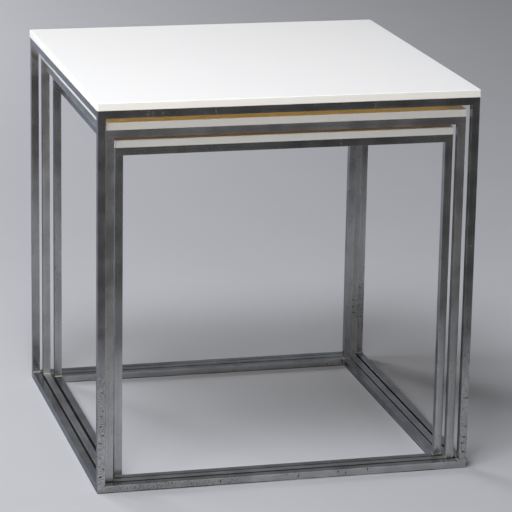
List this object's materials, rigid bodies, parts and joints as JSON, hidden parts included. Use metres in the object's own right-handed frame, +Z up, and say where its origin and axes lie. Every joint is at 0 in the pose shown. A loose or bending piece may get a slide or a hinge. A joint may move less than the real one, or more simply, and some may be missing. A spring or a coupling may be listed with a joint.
{
  "type": "nesting tables",
  "caption": "Nesting side tables: cube frames of square steel bar carry opal acrylic tops and stand inside one another.",
  "frame": {"origin": "on the floor, under the middle of the largest table's top", "axes": "+Z up, towards the tops; +X to the right and -Y towards a person who faces the front"},
  "size_m": [0.2866, 0.2866, 0.2933],
  "materials": {
    "steel_bar": "brushed square bar, aged, with small rust pits and scratches and brazed corners",
    "opal_acrylic": "opal white acrylic sheet, polished, warm where light passes through it"
  },
  "bodies": {
    "small_table": {"small_top": "opal_acrylic", "small_top_rail_front": "steel_bar", "small_top_rail_back": "steel_bar", "small_top_rail_left": "steel_bar", "small_top_rail_right": "steel_bar", "small_leg_front_left": "steel_bar", "small_leg_front_right": "steel_bar", "small_leg_back_left": "steel_bar", "small_leg_back_right": "steel_bar", "small_floor_rail_front": "steel_bar", "small_floor_rail_back": "steel_bar", "small_floor_rail_left": "steel_bar", "small_floor_rail_right": "steel_bar"},
    "middle_table": {"middle_top": "opal_acrylic", "middle_top_rail_front": "steel_bar", "middle_top_rail_back": "steel_bar", "middle_top_rail_left": "steel_bar", "middle_top_rail_right": "steel_bar", "middle_leg_front_left": "steel_bar", "middle_leg_front_right": "steel_bar", "middle_leg_back_left": "steel_bar", "middle_leg_back_right": "steel_bar", "middle_floor_rail_front": "steel_bar", "middle_floor_rail_back": "steel_bar", "middle_floor_rail_left": "steel_bar", "middle_floor_rail_right": "steel_bar"},
    "large_table": {"large_top": "opal_acrylic", "large_top_rail_front": "steel_bar", "large_top_rail_back": "steel_bar", "large_top_rail_left": "steel_bar", "large_top_rail_right": "steel_bar", "large_leg_front_left": "steel_bar", "large_leg_front_right": "steel_bar", "large_leg_back_left": "steel_bar", "large_leg_back_right": "steel_bar", "large_floor_rail_front": "steel_bar", "large_floor_rail_back": "steel_bar", "large_floor_rail_left": "steel_bar", "large_floor_rail_right": "steel_bar"}
  },
  "joints": [
    {"name": "middle_lift", "type": "slide", "parent": "small_table", "child": "middle_table", "axis": [0, 0, 1], "range_m": [0, 0.27]},
    {"name": "large_lift", "type": "slide", "parent": "middle_table", "child": "large_table", "axis": [0, 0, 1], "range_m": [0, 0.285]}
  ]
}
